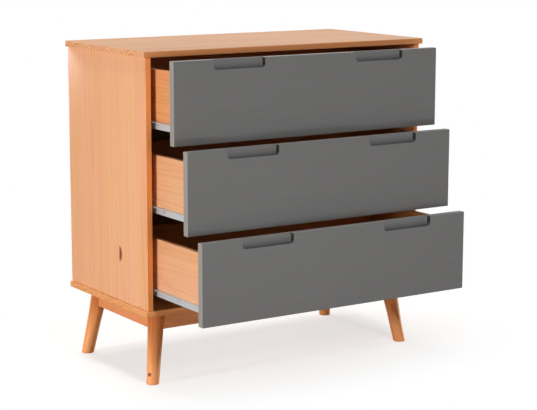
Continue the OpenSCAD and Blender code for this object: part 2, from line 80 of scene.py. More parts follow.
# Lamps: place, target, width and height, power in watts and colour
LAMPS = {
    "key_softbox": ((-4.0, -0.12, 0.57), (0, -0.1, 0.4), (0.6, 1.1), 108, "#FFF8F0"),
    "floor_reflector": ((0.15, -1.5, 0.03), (0.0, -0.5, 1.5), (0.9, 0.6), 9, "#FFFFFF"),
    "front_softbox": ((-0.35, -5.0, 3.2), (0, -0.2, 0.5), (0.3, 1.2), 111, "#FFFFFF"),
    "top_softbox": ((-0.4, 1.3, 4.8), (0, 0, 0.6), (2.0, 2.0), 110, "#FFFFFF"),
    "right_softbox": ((3.9, 0.5, 0.45), (0, 0.1, 0.45), (1.2, 0.6), 76, "#FFFFFF"),
    "rear_softbox": ((0.05, 4.3, 0.4), (0.05, 0.3, 0.4), (0.3, 0.7), 80, "#FFFFFF"),
}
# Light of the surroundings on plain surfaces, and glow of the floor near the chest
AMBIENT, FLOOR_GLOW = 0.02, 0.635
# Half the width of the floor
FLOOR_REACH = 30.0

# Honey lacquer on pine: early wood where it is yellowest, early wood where it is pinkest, and late wood
HONEY = ("#E4AF80", "#E6AA84", "#CC7A3C")
HONEY_DEEP = ("#F6A863", "#F49E5F", "#C2682A")
HONEY_DARK = ("#DC9159", "#D98957", "#AC5E2C")
HONEY_WARM = ("#DE9C5F", "#DC9563", "#B4692F")
HONEY_PALE = ("#E2B083", "#E2AC87", "#CA7C42")
HONEY_BASE = ("#E6A768", "#E3A067", "#CF8442")
# Painted shade: a darker, redder copy for the drawers' right sides and backs, which lie in shade
HONEY_SHADED = ("#D88B50", "#D2834B", "#A2552B")
# The orange of the boards' long edges: lacquer built up there, and painted light for the light they catch
EDGE_ORANGE_AND_LIGHT = "#EC8E42"
# Grey lacquer: the two greys that cloud a front's face, its painted highlight and its notches' painted shade
FACE_GREYS, HIGHLIGHT_GREY, NOTCH_SHADE_GREY = ("#737271", "#6D6C6B"), "#928F8B", "#2E2D2C"

# A knot, in millimetres: its middle along and across the grain, and half its length and width. A side of -1
# or 1 keeps one half of it, cut by a glue line. It shows only where the depth is more than least, and every
# depth is more than ANY_DEPTH. slant is how far its middle line moves sideways with each millimetre along.
ANY_DEPTH = -999
Knot = namedtuple("Knot", "along across half_length half_width side least slant", defaults=(0, ANY_DEPTH, 0))


def linear(hex_colour):
    """An sRGB hex colour as linear RGBA."""
    parts = np.array([int(hex_colour[i:i + 2], 16) for i in (1, 3, 5)]) / 255
    parts = np.where(parts <= 0.04045, parts / 12.92, ((parts + 0.055) / 1.055) ** 2.4)
    return (*parts.tolist(), 1.0)


def add(tree, kind, inputs=None, out=0, **settings):
    """Adds a node, sets it up and gives one of its outputs. An input is a plain value or a socket to link."""
    node = tree.nodes.new(kind)
    for name, value in settings.items():
        setattr(node, name, value)
    for name, value in (inputs or {}).items():
        if isinstance(value, bpy.types.NodeSocket):
            tree.links.new(value, node.inputs[name])
        else:
            node.inputs[name].default_value = value
    return node.outputs[out]


def new_material(name, **surface):
    """A material whose uniform values are set on the shader itself, with its node tree and its shader."""
    material = bpy.data.materials.new(name)
    material.use_nodes = True
    shader = material.node_tree.nodes["Principled BSDF"]
    for socket, value in surface.items():
        shader.inputs[socket.replace("_", " ")].default_value = value
    return material, material.node_tree, shader


def object_mm(tree):
    """The object's own coordinates, in millimetres."""
    place = add(tree, "ShaderNodeTexCoord", out="Object")
    return add(tree, "ShaderNodeVectorMath", {0: place, 1: (MM, MM, MM)}, operation="MULTIPLY")


def streaks(tree, place, along, length, width, seed, detail=2.0):
    """Noise from 0 to 1 that is drawn out along the grain, in streaks of about that length and width.

    The seed moves the noise, so that it isn't the same from one pattern to the next.
    """
    scale = [1 / width] * 3
    scale[along] = 1 / length
    moved = add(tree, "ShaderNodeVectorMath", {0: place, 1: scale, 2: (seed, seed * 0.7, seed * 1.3)},
                operation="MULTIPLY_ADD")
    return add(tree, "ShaderNodeTexNoise", {"Vector": moved, "Scale": 1.0, "Detail": detail})


def faces_along(tree, axis):
    """1 where a surface faces along an axis, either way, and 0 where it is well away from that."""
    normal = add(tree, "ShaderNodeTexCoord", out="Normal")
    part = add(tree, "ShaderNodeSeparateXYZ", {0: normal}, out=axis)
    size = add(tree, "ShaderNodeMath", {0: part}, operation="ABSOLUTE")
    return add(tree, "ShaderNodeMapRange", {0: size, 1: 0.6, 2: 0.9})


def pith_distance(tree, at_length, at_width, at_depth, stave, middle, seed):
    """Distance from the pith of the point's stave, in millimetres, and a random share of the stave's own.

    The distance is the root of the squares of what lies between them across the board and in its depth. The
    pith lies anywhere across its stave, or up to a tenth of a stave beside it, and 4 to 49 mm inside the
    board's middle. It leans in depth by up to 35 mm in a metre.
    """
    strip = add(tree, "ShaderNodeMath", {0: at_width, 1: 1 / stave, 2: seed}, operation="MULTIPLY_ADD")
    number = add(tree, "ShaderNodeMath", {0: strip}, operation="FLOOR")
    within = add(tree, "ShaderNodeMath", {0: strip}, operation="FRACT")
    chance = add(tree, "ShaderNodeTexWhiteNoise", {"W": number}, out="Color", noise_dimensions="1D")
    shares = [add(tree, "ShaderNodeSeparateColor", {0: chance}, out=part) for part in range(3)]

    beside = add(tree, "ShaderNodeMath", {0: shares[0], 1: -1.2, 2: 0.1}, operation="MULTIPLY_ADD")
    beside = add(tree, "ShaderNodeMath", {0: within, 1: beside}, operation="ADD")
    beside = add(tree, "ShaderNodeMath", {0: beside, 1: stave}, operation="MULTIPLY")
    lean = add(tree, "ShaderNodeMath", {0: shares[2], 1: 0.07, 2: -0.035}, operation="MULTIPLY_ADD")
    drift = add(tree, "ShaderNodeMath", {0: at_length, 1: lean}, operation="MULTIPLY")
    pith = add(tree, "ShaderNodeMath", {0: shares[1], 1: 45, 2: 4 - middle}, operation="MULTIPLY_ADD")
    depth = add(tree, "ShaderNodeMath", {0: at_depth}, operation="ABSOLUTE")
    depth = add(tree, "ShaderNodeMath", {0: depth, 1: pith}, operation="ADD")
    depth = add(tree, "ShaderNodeMath", {0: depth, 1: drift}, operation="ADD")
    square = add(tree, "ShaderNodeMath", {0: beside, 1: beside}, operation="MULTIPLY")
    square = add(tree, "ShaderNodeMath", {0: depth, 1: depth, 2: square}, operation="MULTIPLY_ADD")
    return add(tree, "ShaderNodeMath", {0: square}, operation="SQRT"), shares[1]


def knot_marks(tree, knot, at_length, at_width, at_depth):
    """The knot's dark spot, from 0 to 1, and how far it bends the rings, in millimetres.

    Both depend on the square of the distance from its middle, counted in its half lengths and half widths.
    The spot fades between 0.5 and 1.1, and the bend falls from 3 mm at 0 to nothing at 7.
    """
    along = add(tree, "ShaderNodeMath", {0: at_length, 1: knot.along}, operation="SUBTRACT")
    beside = add(tree, "ShaderNodeMath", {0: along, 1: knot.slant, 2: at_width}, operation="MULTIPLY_ADD")
    beside = add(tree, "ShaderNodeMath", {0: beside, 1: knot.across}, operation="SUBTRACT")
    along = add(tree, "ShaderNodeMath", {0: along, 1: knot.half_length}, operation="DIVIDE")
    beside = add(tree, "ShaderNodeMath", {0: beside, 1: knot.half_width}, operation="DIVIDE")
    square = add(tree, "ShaderNodeMath", {0: along, 1: along}, operation="MULTIPLY")
    square = add(tree, "ShaderNodeMath", {0: beside, 1: beside, 2: square}, operation="MULTIPLY_ADD")
    spot = add(tree, "ShaderNodeMapRange", {0: square, 1: 1.1, 2: 0.5})
    shown = add(tree, "ShaderNodeMath", {0: at_depth, 1: knot.least}, operation="GREATER_THAN")
    spot = add(tree, "ShaderNodeMath", {0: spot, 1: shown}, operation="MULTIPLY")
    if knot.side:
        kept = add(tree, "ShaderNodeMapRange", {0: beside, 1: -0.06 * knot.side, 2: 0.06 * knot.side})
        spot = add(tree, "ShaderNodeMath", {0: spot, 1: kept}, operation="MULTIPLY")
    bend = add(tree, "ShaderNodeMapRange", {0: square, 1: 7.0, 2: 0.0, 3: 0.0, 4: 3.0},
               interpolation_type="SMOOTHSTEP")
    return spot, bend


def late_wood(tree, distance, ring, ends):
    """How dark the late wood is at a distance from the pith, from 0 to 1.

    Each ring darkens with the third power of its share and ends at once. No two rings are equally dark, and
    all of them are darkest on the end grain.
    """
    rings = add(tree, "ShaderNodeMath", {0: distance, 1: ring}, operation="DIVIDE")
    share = add(tree, "ShaderNodeMath", {0: rings}, operation="FRACT")
    late = add(tree, "ShaderNodeMath", {0: share, 1: 3.0}, operation="POWER")
    fade = add(tree, "ShaderNodeMapRange", {0: share, 1: 1.0, 2: 0.86})
    late = add(tree, "ShaderNodeMath", {0: late, 1: fade}, operation="MULTIPLY")
    number = add(tree, "ShaderNodeMath", {0: rings}, operation="FLOOR")
    year = add(tree, "ShaderNodeTexWhiteNoise", {"W": number}, noise_dimensions="1D")
    strength = add(tree, "ShaderNodeMath", {0: year, 1: 0.44, 2: 0.08}, operation="MULTIPLY_ADD")
    strength = add(tree, "ShaderNodeMath", {0: ends, 1: strength}, operation="ADD")
    return add(tree, "ShaderNodeMath", {0: late, 1: strength}, operation="MULTIPLY")


def pine(name, along, across, tones, seed, stave, ring, middle=0.0, edge=0.0, knots=(), knot_tone=None,
         source=None):
    """Radiata pine with few knots, edge-glued from staves, sanded and sprayed with a satin honey lacquer.

    It gives soft straight lines of darker late wood along the grain, a slight change of tone from stave to
    stave, arcs of the same rings on the end grain, and a broad dull shine. The rings are cylinders round a
    pith of each stave's own, which leans a little, so that a flat-sawn stave shows pointed arches.
    stave is the width of a stave and ring that of a year, drawn coarser than real years so that the arcs
    show from a step away. middle is the depth of the board's middle, all three in millimetres. Left at 0 it
    puts the pith near the chest's own middle, so that boards far from there have nearly flat rings. edge is
    the share of orange on the long edges, where the lacquer builds up and where painted light brightens
    them, and knot_tone the colour of the knots. source names an attribute of the piece that holds its own
    coordinates, in millimetres.
    """
    material, tree, shader = new_material(name, Roughness=0.58, Coat_Weight=0.1, Coat_Roughness=0.4)
    if source:
        place = add(tree, "ShaderNodeAttribute", out="Vector", attribute_name=source)
    else:
        place = object_mm(tree)
    parts = [add(tree, "ShaderNodeSeparateXYZ", {0: place}, out=axis) for axis in (X, Y, Z)]
    at_length, at_width, at_depth = parts[along], parts[across], parts[3 - along - across]
    ends = faces_along(tree, along)
    edges = faces_along(tree, across)

    # The rings wander by up to 7 mm, and bend round the knots
    distance, own = pith_distance(tree, at_length, at_width, at_depth, stave, middle, seed)
    wander = streaks(tree, place, along, 700, 36, seed)
    distance = add(tree, "ShaderNodeMath", {0: wander, 1: 7, 2: distance}, operation="MULTIPLY_ADD")
    spots = []
    for knot in knots:
        spot, bend = knot_marks(tree, knot, at_length, at_width, at_depth)
        spots.append(spot)
        distance = add(tree, "ShaderNodeMath", {0: distance, 1: bend}, operation="ADD")
    late = late_wood(tree, distance, ring, ends)

    # Broad bands, pinstripes and fibres, drawn coarser than real fibres so that they show from a step away
    tone = late
    for length, width, share in ((700, 16, 0.16), (420, 3.4, 0.66), (60, 1.1, 0.3)):
        fibre = streaks(tree, place, along, length, width, seed + width)
        part = add(tree, "ShaderNodeMath", {0: fibre, 1: share, 2: -share / 2}, operation="MULTIPLY_ADD")
        tone = add(tree, "ShaderNodeMath", {0: tone, 1: part}, operation="ADD")
    own = add(tree, "ShaderNodeMath", {0: own, 1: 0.2, 2: -0.04}, operation="MULTIPLY_ADD")
    tone = add(tree, "ShaderNodeMath", {0: tone, 1: own}, operation="ADD")
    tone = add(tree, "ShaderNodeMath", {0: ends, 1: 0.1, 2: tone}, operation="MULTIPLY_ADD", use_clamp=True)

    # Pink clouds in the early wood, brown late wood over them, then the edges and the knots
    yellow, pink, brown = (linear(hex_colour) for hex_colour in tones)
    blush = streaks(tree, place, along, 330, 55, seed + 13)
    blush = add(tree, "ShaderNodeMapRange", {0: blush, 1: 0.35, 2: 0.65})
    early = add(tree, "ShaderNodeMix", {0: blush, "A": yellow, "B": pink}, out="Result", data_type="RGBA")
    colour = add(tree, "ShaderNodeMix", {0: tone, "A": early, "B": brown}, out="Result", data_type="RGBA")
    # Long edges: orange from built-up lacquer, made brighter as painted light for the light they catch
    edges = add(tree, "ShaderNodeMath", {0: edges, 1: edge}, operation="MULTIPLY")
    colour = add(tree, "ShaderNodeMix", {0: edges, "A": colour, "B": linear(EDGE_ORANGE_AND_LIGHT)}, out="Result",
                 data_type="RGBA")
    for spot in spots:
        colour = add(tree, "ShaderNodeMix", {0: spot, "A": colour, "B": linear(knot_tone)}, out="Result",
                     data_type="RGBA")
    tree.links.new(colour, shader.inputs["Base Color"])

    height = add(tree, "ShaderNodeMath", {0: late, 1: 0.6, 2: fibre}, operation="MULTIPLY_ADD")
    bump = add(tree, "ShaderNodeBump", {"Height": height, "Strength": 0.10, "Distance": 0.0004},
               out="Normal")
    tree.links.new(bump, shader.inputs["Normal"])
    return material


def grey_lacquer(end_x):
    """Fibreboard drawer fronts, sprayed with a pigmented satin lacquer and sanded between the coats.

    It gives an even neutral grey with a soft sheen, and sanding marks along X that only just show. The ends
    beyond end_x, in millimetres, and the upper edges are painted a little paler than the face, a painted
    highlight. The notches carry painted shade: their walls are nearly black, and their backs are darker
    towards the bottom, as far as an attribute of the faces' corners says, from 0 to 1.
    """
    material, tree, shader = new_material("satin_grey_lacquer", Roughness=0.58, Coat_Weight=0.15,
                                          Coat_Roughness=0.4)
    place = object_mm(tree)
    cloud = streaks(tree, place, X, 220, 3.4, 2.0)
    mark = streaks(tree, place, X, 45, 0.9, 5.0)
    share = add(tree, "ShaderNodeMath", {0: mark, 1: 0.5, 2: -0.5}, operation="MULTIPLY_ADD")
    share = add(tree, "ShaderNodeMath", {0: cloud, 1: 1.5, 2: share}, operation="MULTIPLY_ADD",
                use_clamp=True)
    greys = [linear(hex_colour) for hex_colour in FACE_GREYS]
    colour = add(tree, "ShaderNodeMix", {0: share, "A": greys[0], "B": greys[1]}, out="Result",
                 data_type="RGBA")

    # Painted highlight: the ends beyond end_x and the faces that look up are painted paler
    out_x = add(tree, "ShaderNodeSeparateXYZ", {0: place}, out=X)
    out_x = add(tree, "ShaderNodeMath", {0: out_x}, operation="ABSOLUTE")
    ends = add(tree, "ShaderNodeMapRange", {0: out_x, 1: end_x - 0.4, 2: end_x})
    normal = add(tree, "ShaderNodeTexCoord", out="Normal")
    upwards = add(tree, "ShaderNodeSeparateXYZ", {0: normal}, out=Z)
    upwards = add(tree, "ShaderNodeMapRange", {0: upwards, 1: 0.5, 2: 0.9, 4: 1.5})
    edges = add(tree, "ShaderNodeMath", {0: ends, 1: upwards}, operation="ADD", use_clamp=True)
    colour = add(tree, "ShaderNodeMix", {0: edges, "A": colour, "B": linear(HIGHLIGHT_GREY)}, out="Result",
                 data_type="RGBA")
    # Painted shade: the notches' walls and the lower parts of their backs are mixed towards near-black
    notch_shade = add(tree, "ShaderNodeAttribute", out="Fac", attribute_name="notch_shade")
    notch_shade = add(tree, "ShaderNodeMath", {0: notch_shade, 1: 1.7}, operation="POWER")
    colour = add(tree, "ShaderNodeMix", {0: notch_shade, "A": colour, "B": linear(NOTCH_SHADE_GREY)}, out="Result",
                 data_type="RGBA")
    tree.links.new(colour, shader.inputs["Base Color"])
    bump = add(tree, "ShaderNodeBump", {"Height": mark, "Strength": 0.05, "Distance": 0.0002}, out="Normal")
    tree.links.new(bump, shader.inputs["Normal"])
    return material


def plywood(name, along):
    """Three-ply poplar panel, rotary peeled and left raw: pale, with wide lazy figure and a dry surface."""
    material, tree, shader = new_material(name, Roughness=0.62)
    place = object_mm(tree)
    flow = streaks(tree, place, along, 420, 70, 9.0, detail=1.5)
    rings = add(tree, "ShaderNodeMath", {0: flow, 1: 22}, operation="MULTIPLY")
    rings = add(tree, "ShaderNodeMath", {0: rings, 1: 1}, operation="PINGPONG")
    fibre = streaks(tree, place, along, 40, 1.0, 4.0)
    share = add(tree, "ShaderNodeMath", {0: rings, 1: 0.35}, operation="MULTIPLY")
    share = add(tree, "ShaderNodeMath", {0: fibre, 1: 0.5, 2: share}, operation="MULTIPLY_ADD")
    colour = add(tree, "ShaderNodeMix", {0: share, "A": linear("#DEC19A"), "B": linear("#BE9566")},
                 out="Result", data_type="RGBA")
    tree.links.new(colour, shader.inputs["Base Color"])
    bump = add(tree, "ShaderNodeBump", {"Height": fibre, "Strength": 0.15, "Distance": 0.0003}, out="Normal")
    tree.links.new(bump, shader.inputs["Normal"])
    return material


def zinc(name, hex_colour, roughness, grain):
    """Electro-galvanised sheet or wire: a pale cool metal with faint rolling lines and a cloudy sheen.

    grain is the width of a rolling line, in millimetres.
    """
    material, tree, shader = new_material(name, Metallic=1.0)
    shader.inputs["Base Color"].default_value = linear(hex_colour)
    place = object_mm(tree)
    cloud = streaks(tree, place, Y, 30, 9, 6.0)
    line = streaks(tree, place, Y, 40, grain, 1.0)
    rough = add(tree, "ShaderNodeMath", {0: cloud, 1: 0.16, 2: roughness - 0.08}, operation="MULTIPLY_ADD")
    tree.links.new(rough, shader.inputs["Roughness"])
    bump = add(tree, "ShaderNodeBump", {"Height": line, "Strength": 0.08, "Distance": 0.0002}, out="Normal")
    tree.links.new(bump, shader.inputs["Normal"])
    return material


def nylon():
    """Moulded natural nylon rollers: milky white, with a fine dull texture from the mould."""
    material, tree, shader = new_material("moulded_nylon", Roughness=0.45, IOR=1.53, Subsurface_Weight=0.15)
    place = object_mm(tree)
    cloud = add(tree, "ShaderNodeTexNoise", {"Vector": place, "Scale": 0.25, "Detail": 2.0})
    colour = add(tree, "ShaderNodeMix", {0: cloud, "A": linear("#ECEAE2"), "B": linear("#DEDBD0")},
                 out="Result", data_type="RGBA")
    tree.links.new(colour, shader.inputs["Base Color"])
    grit = add(tree, "ShaderNodeTexNoise", {"Vector": place, "Scale": 3.0, "Detail": 1.0})
    bump = add(tree, "ShaderNodeBump", {"Height": grit, "Strength": 0.06, "Distance": 0.0002}, out="Normal")
    tree.links.new(bump, shader.inputs["Normal"])
    return material


def read(items, name, width=1, kind=np.float64):
    """One property of all of a mesh's points, corners or faces, with a row for each."""
    values = np.empty(len(items) * width, kind)
    items.foreach_get(name, values)
    return values.reshape(-1, width) if width > 1 else values


def new_object(name, data):
    """An object of the scene for a mesh, a lamp or a camera."""
    made = bpy.data.objects.new(name, data)
    bpy.context.scene.collection.objects.link(made)
    return made


def outline(corners, inset, steps):
    """Points round a right-angled outline, drawn in by an inset. A corner is (u, v, radius), anticlockwise.

    Each corner is a quarter circle of that many steps. Where the outline turns left the circle's centre lies
    inside, and its radius shrinks by the inset. Where it turns right the centre lies outside, and the radius
    grows by the inset.
    """
    here = np.array([corner[:2] for corner in corners])
    before = here - np.roll(here, 1, 0)
    after = np.roll(here, -1, 0) - here
    before /= np.linalg.norm(before, axis=1, keepdims=True)
    after /= np.linalg.norm(after, axis=1, keepdims=True)
    left = np.sign(before[:, 0] * after[:, 1] - before[:, 1] * after[:, 0])[:, None]
    out_before = np.stack([before[:, 1], -before[:, 0]], 1)
    out_after = np.stack([after[:, 1], -after[:, 0]], 1)
    radius = np.array([[corner[2]] for corner in corners])
    centre = here - left * radius * (out_before + out_after)
    angle = np.linspace(0, math.pi / 2, steps + 1)[None, :, None]
    turn = np.cos(angle) * out_before[:, None] + np.sin(angle) * out_after[:, None]
    reach = (left * radius - inset)[:, None]
    return (centre[:, None] + reach * turn).reshape(-1, 2)


def rounded_end(arris, steps=3):
    """Distances from a block's end, and the inset at each, that round the end with a quarter circle."""
    angle = np.linspace(0, math.pi / 2, steps + 1)
    return list(zip(arris * (1 - np.cos(angle)), arris * (1 - np.sin(angle))))


def stand_for(piece, body, node_name):
    """Rides a piece on its body and shows it in the place of its node."""
    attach(piece, body)
    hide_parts(node_name)


def make_piece(name, body, material, rings, node_name):
    """Skins a stack of closed rings and closes both ends with flat caps.

    rings is an array of (ring, point, 3). Points that coincide are merged, faces are turned outwards, and
    the shading is smooth with the large faces kept flat.
    """
    count, size = rings.shape[:2]
    index = np.arange(count * size).reshape(count, size)
    low, high = index[:-1], index[1:]
    quads = np.stack([low, np.roll(low, -1, 1), np.roll(high, -1, 1), high], 2).reshape(-1, 4)
    mesh = bpy.data.meshes.new(name)
    mesh.from_pydata(rings.reshape(-1, 3), [], [*quads.tolist(), index[0][::-1].tolist(), index[-1].tolist()])
    work = bmesh.new()
    work.from_mesh(mesh)
    bmesh.ops.remove_doubles(work, verts=work.verts, dist=MERGE)
    bmesh.ops.recalc_face_normals(work, faces=work.faces)
    work.to_mesh(mesh)
    work.free()
    mesh.shade_smooth()
    mesh.materials.append(material)
    piece = new_object(name, mesh)
    weighted = piece.modifiers.new("flat_faces", "WEIGHTED_NORMAL")
    weighted.weight = 100
    weighted.keep_sharp = True
    stand_for(piece, body, node_name)
    return piece


def drawer_front(level, material):
    """A front with two blind finger notches, as a stack of outlines from its back to its face.

    Behind the notches the outline is a rectangle: each point of a notch is lifted to the top edge. At the
    notches' depth the lifted points drop to the notch, and the outline goes on to the face. The first and
    last rings are drawn in by a quarter circle, which rounds all the arrises.
    """
    name = f"{level}_drawer_front"
    low, high = (np.array(corner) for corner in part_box(name))
    top = high[Z]
    shelf = low[Y] + NOTCH_D
    notches = []
    for start in (low[X] + NOTCH_MARGIN, high[X] - NOTCH_MARGIN - NOTCH_W):
        notches += [(top, start, NOTCH_LIP_R), (top - NOTCH_H, start, NOTCH_R),
                    (top - NOTCH_H, start + NOTCH_W, NOTCH_R), (top, start + NOTCH_W, NOTCH_LIP_R)]
    left = [(low[Z], low[X], FRONT_CORNER_R), (top, low[X], FRONT_CORNER_R)]
    right = [(top, high[X], FRONT_CORNER_R), (low[Z], high[X], FRONT_CORNER_R)]
    corners = [*left, *notches, *right]
    steps = 6
    in_notch = np.repeat([corner in notches for corner in corners], steps + 1)

    # Each ring is its place in Y, its inset, and how far below the top edge the notches' points stop
    back = [(high[Y] - rise, inset, 0.0) for rise, inset in rounded_end(FRONT_ARRIS)]
    lip = [(shelf + rise, 0.0, drop) for rise, drop in rounded_end(FRONT_ARRIS / 2)[::-1]]
    face = [(low[Y] + rise, inset, math.inf) for rise, inset in rounded_end(FRONT_ARRIS)[::-1]]
    rings = []
    for place, inset, drop in [*back, *lip, (shelf, 0.0, math.inf), *face]:
        z, x = outline(corners, inset, steps).T
        z = np.where(in_notch, np.maximum(z, top - inset - drop), z)
        rings.append(np.stack([x, np.full(len(x), place), z], 1))
    piece = make_piece(f"{level}_drawer_face", f"{level}_drawer", material,
                       np.array(rings), name)

    # Painted shade at the faces' corners: full on the notches' walls, and more the lower on the notches'
    # backs
    mesh = piece.data
    centre = read(mesh.polygons, "center", 3)
    normal = read(mesh.polygons, "normal", 3)
    play = 0.001
    inside = (centre[:, Z] > top - NOTCH_H - play) & (centre[:, Z] < top - 2 * play)
    inside &= np.abs(centre[:, X]) < high[X] - NOTCH_MARGIN + play
    wall = inside & (centre[:, Y] < shelf - SAME) & (np.abs(normal[:, Y]) < 0.3)
    notch_back = inside & (np.abs(centre[:, Y] - shelf) < SAME)
    corner_count = read(mesh.polygons, "loop_total", kind=np.int32)
    height = read(mesh.vertices, "co", 3)[read(mesh.loops, "vertex_index", kind=np.int32), Z]
    notch_shade_share = np.where(np.repeat(notch_back, corner_count), NOTCH_BACK_SHADE * (top - height) / NOTCH_H, 0.0)
    notch_shade_share = np.where(np.repeat(wall, corner_count), 1.0, notch_shade_share)
    mesh.attributes.new("notch_shade", "FLOAT", "CORNER").data.foreach_set("value", notch_shade_share.astype(np.float32))


def leg(end, side, material):
    """A turned, tapered and splayed leg: circles square to its leaning axis, cut level at both ends.

    The node's foot is a circle cut level, so the axis runs between the middles of its lowest and highest
    slices. Each ring's points slide along the axis to the level plane, and the foot's edge is rounded. The
    attribute "grain" holds the leg's own coordinates in millimetres: two across the axis, one along it.
    """
    name = f"{end}_{side}_leg"
    points = read(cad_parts[name].data.vertices, "co", 3)
    foot_z, head_z = points[:, Z].min(), points[:, Z].max()
    slices = [points[np.abs(points[:, Z] - height) < SAME] for height in (foot_z, head_z)]
    foot, head = ((part.min(0) + part.max(0)) / 2 for part in slices)
    axis = (head - foot) / np.linalg.norm(head - foot)
    across = np.cross(axis, (0, 0, 1))
    across /= np.linalg.norm(across)
    up = np.cross(across, axis)
    radii = [np.abs((part - middle) @ across).max() for part, middle in zip(slices, (foot, head))]
    turn = np.linspace(0, 2 * math.pi, LEG_POINTS, endpoint=False)
    rings = []
    for height, inset in [*rounded_end(FOOT_ARRIS), (head_z - foot_z, 0.0)]:
        share = height / (head_z - foot_z)
        radius = radii[0] + (radii[1] - radii[0]) * share - inset
        circle = radius * (np.cos(turn)[:, None] * across + np.sin(turn)[:, None] * up)
        ring = foot + (head - foot) * share + circle
        ring -= ((ring[:, Z] - foot_z - height) / axis[Z])[:, None] * axis
        rings.append(ring)
    piece = make_piece(f"{end}_{side}_turned_leg", "carcass", material, np.array(rings), name)

    # The foot's middle is moved 60 mm from the axis of the pattern both ways, which keeps the pith outside
    away = np.array([60, 60, 0]) * np.sign(foot)
    own = read(piece.data.vertices, "co", 3) - foot
    own = np.stack([own @ up, own @ across, own @ axis], 1) * MM + away
    grain = piece.data.attributes.new("grain", "FLOAT_VECTOR", "POINT")
    grain.data.foreach_set("vector", own.astype(np.float32).ravel())


def eased_board(node_name, name, body, material):
    """A board with its rebates, grooves and holes as its node has them, and every arris rounded.

    A copy of the node's loose triangles is merged, its coplanar triangles are joined into whole faces,
    and a bevel rounds what is left of its edges.
    """
    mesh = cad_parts[node_name].data.copy()
    mesh.materials.clear()
    work = bmesh.new()
    work.from_mesh(mesh)
    bmesh.ops.remove_doubles(work, verts=work.verts, dist=MERGE)
    bmesh.ops.dissolve_limit(work, angle_limit=math.radians(FLAT_ANGLE), verts=work.verts, edges=work.edges)
    work.to_mesh(mesh)
    work.free()
    mesh.shade_smooth()
    mesh.materials.append(material)
    piece = new_object(name, mesh)
    bevel = piece.modifiers.new("arris", "BEVEL")
    bevel.width = BOARD_ARRIS
    bevel.segments = 3
    bevel.limit_method = "ANGLE"
    bevel.angle_limit = math.radians(ARRIS_ANGLE)
    bevel.use_clamp_overlap = False
    bevel.harden_normals = True
    stand_for(piece, body, node_name)


def dress(node_names, material):
    """Gives the CAD nodes whose shape is shown as it is their own material."""
    for node_name in node_names:
        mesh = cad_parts[node_name].data
        mesh.materials.clear()
        mesh.materials.append(material)


def lamp(name, place, target, size, power, hex_colour):
    """A rectangular area lamp that faces its target."""
    light = bpy.data.lights.new(name, "AREA")
    light.shape = "RECTANGLE"
    light.size, light.size_y = size
    light.energy = power
    light.color = linear(hex_colour)[:3]
    made = new_object(name, light)
    made.location = place
    made.visible_camera = False
    direction = mathutils.Vector(np.array(target) - np.array(place))
    made.rotation_euler = direction.to_track_quat("-Z", "Y").to_euler()


def white_surroundings():
    """A world that lights the part plainly, and that the camera, metal and gloss see as white."""
    world = bpy.data.worlds.new("white_studio")
    bpy.context.scene.world = world
    world.use_nodes = True
    tree = world.node_tree
    background = tree.nodes["Background"]
    background.inputs["Color"].default_value = linear("#FFFFFF")
    rays = [add(tree, "ShaderNodeLightPath", out=ray)
            for ray in ("Is Camera Ray", "Is Glossy Ray", "Is Transmission Ray")]
    seen = add(tree, "ShaderNodeMath", {0: rays[0], 1: rays[1]}, operation="MAXIMUM")
    seen = add(tree, "ShaderNodeMath", {0: seen, 1: rays[2]}, operation="MAXIMUM")
    strength = add(tree, "ShaderNodeMapRange", {0: seen, 3: AMBIENT, 4: 1.0})
    tree.links.new(strength, background.inputs["Strength"])


def white_floor():
    """A white floor that keeps the chest's soft shadow and turns into plain white further away."""
    mesh = bpy.data.meshes.new("floor")
    ends = (-FLOOR_REACH, FLOOR_REACH)
    mesh.from_pydata([(x, y, 0) for x in ends for y in ends], [], [(0, 2, 3, 1)])
    floor = new_object("floor", mesh)
    material = bpy.data.materials.new("white_paper_floor")
    material.use_nodes = True
    tree = material.node_tree
    tree.nodes.clear()
    # The shadow's part of the floor is an oval round the chest, and it fades out over its edge
    place = add(tree, "ShaderNodeTexCoord", out="Object")
    far = add(tree, "ShaderNodeVectorMath", {0: place, 1: (1.0, 1.7, 1.0), 2: (0.0, -0.3, 0.0)},
              operation="MULTIPLY_ADD")
    far = add(tree, "ShaderNodeVectorMath", {0: far}, out="Value", operation="LENGTH")
    far = add(tree, "ShaderNodeMapRange", {0: far, 1: 0.4, 2: 1.0}, interpolation_type="SMOOTHSTEP")
    seen = add(tree, "ShaderNodeLightPath", out="Is Camera Ray")
    far = add(tree, "ShaderNodeMath", {0: far, 1: seen}, operation="MULTIPLY")
    paper = add(tree, "ShaderNodeBsdfDiffuse", {"Color": linear("#BCBCBC")})
    glow = add(tree, "ShaderNodeMath", {0: seen, 1: FLOOR_GLOW}, operation="MULTIPLY")
    glow = add(tree, "ShaderNodeEmission", {"Color": linear("#FFFFFF"), "Strength": glow})
    near = add(tree, "ShaderNodeAddShader", {0: paper, 1: glow})
    white = add(tree, "ShaderNodeEmission", {"Color": linear("#FFFFFF"), "Strength": 1.0})
    mixed = add(tree, "ShaderNodeMixShader", {0: far, 1: near, 2: white})
    output = tree.nodes.new("ShaderNodeOutputMaterial")
    tree.links.new(mixed, output.inputs["Surface"])
    mesh.materials.append(material)


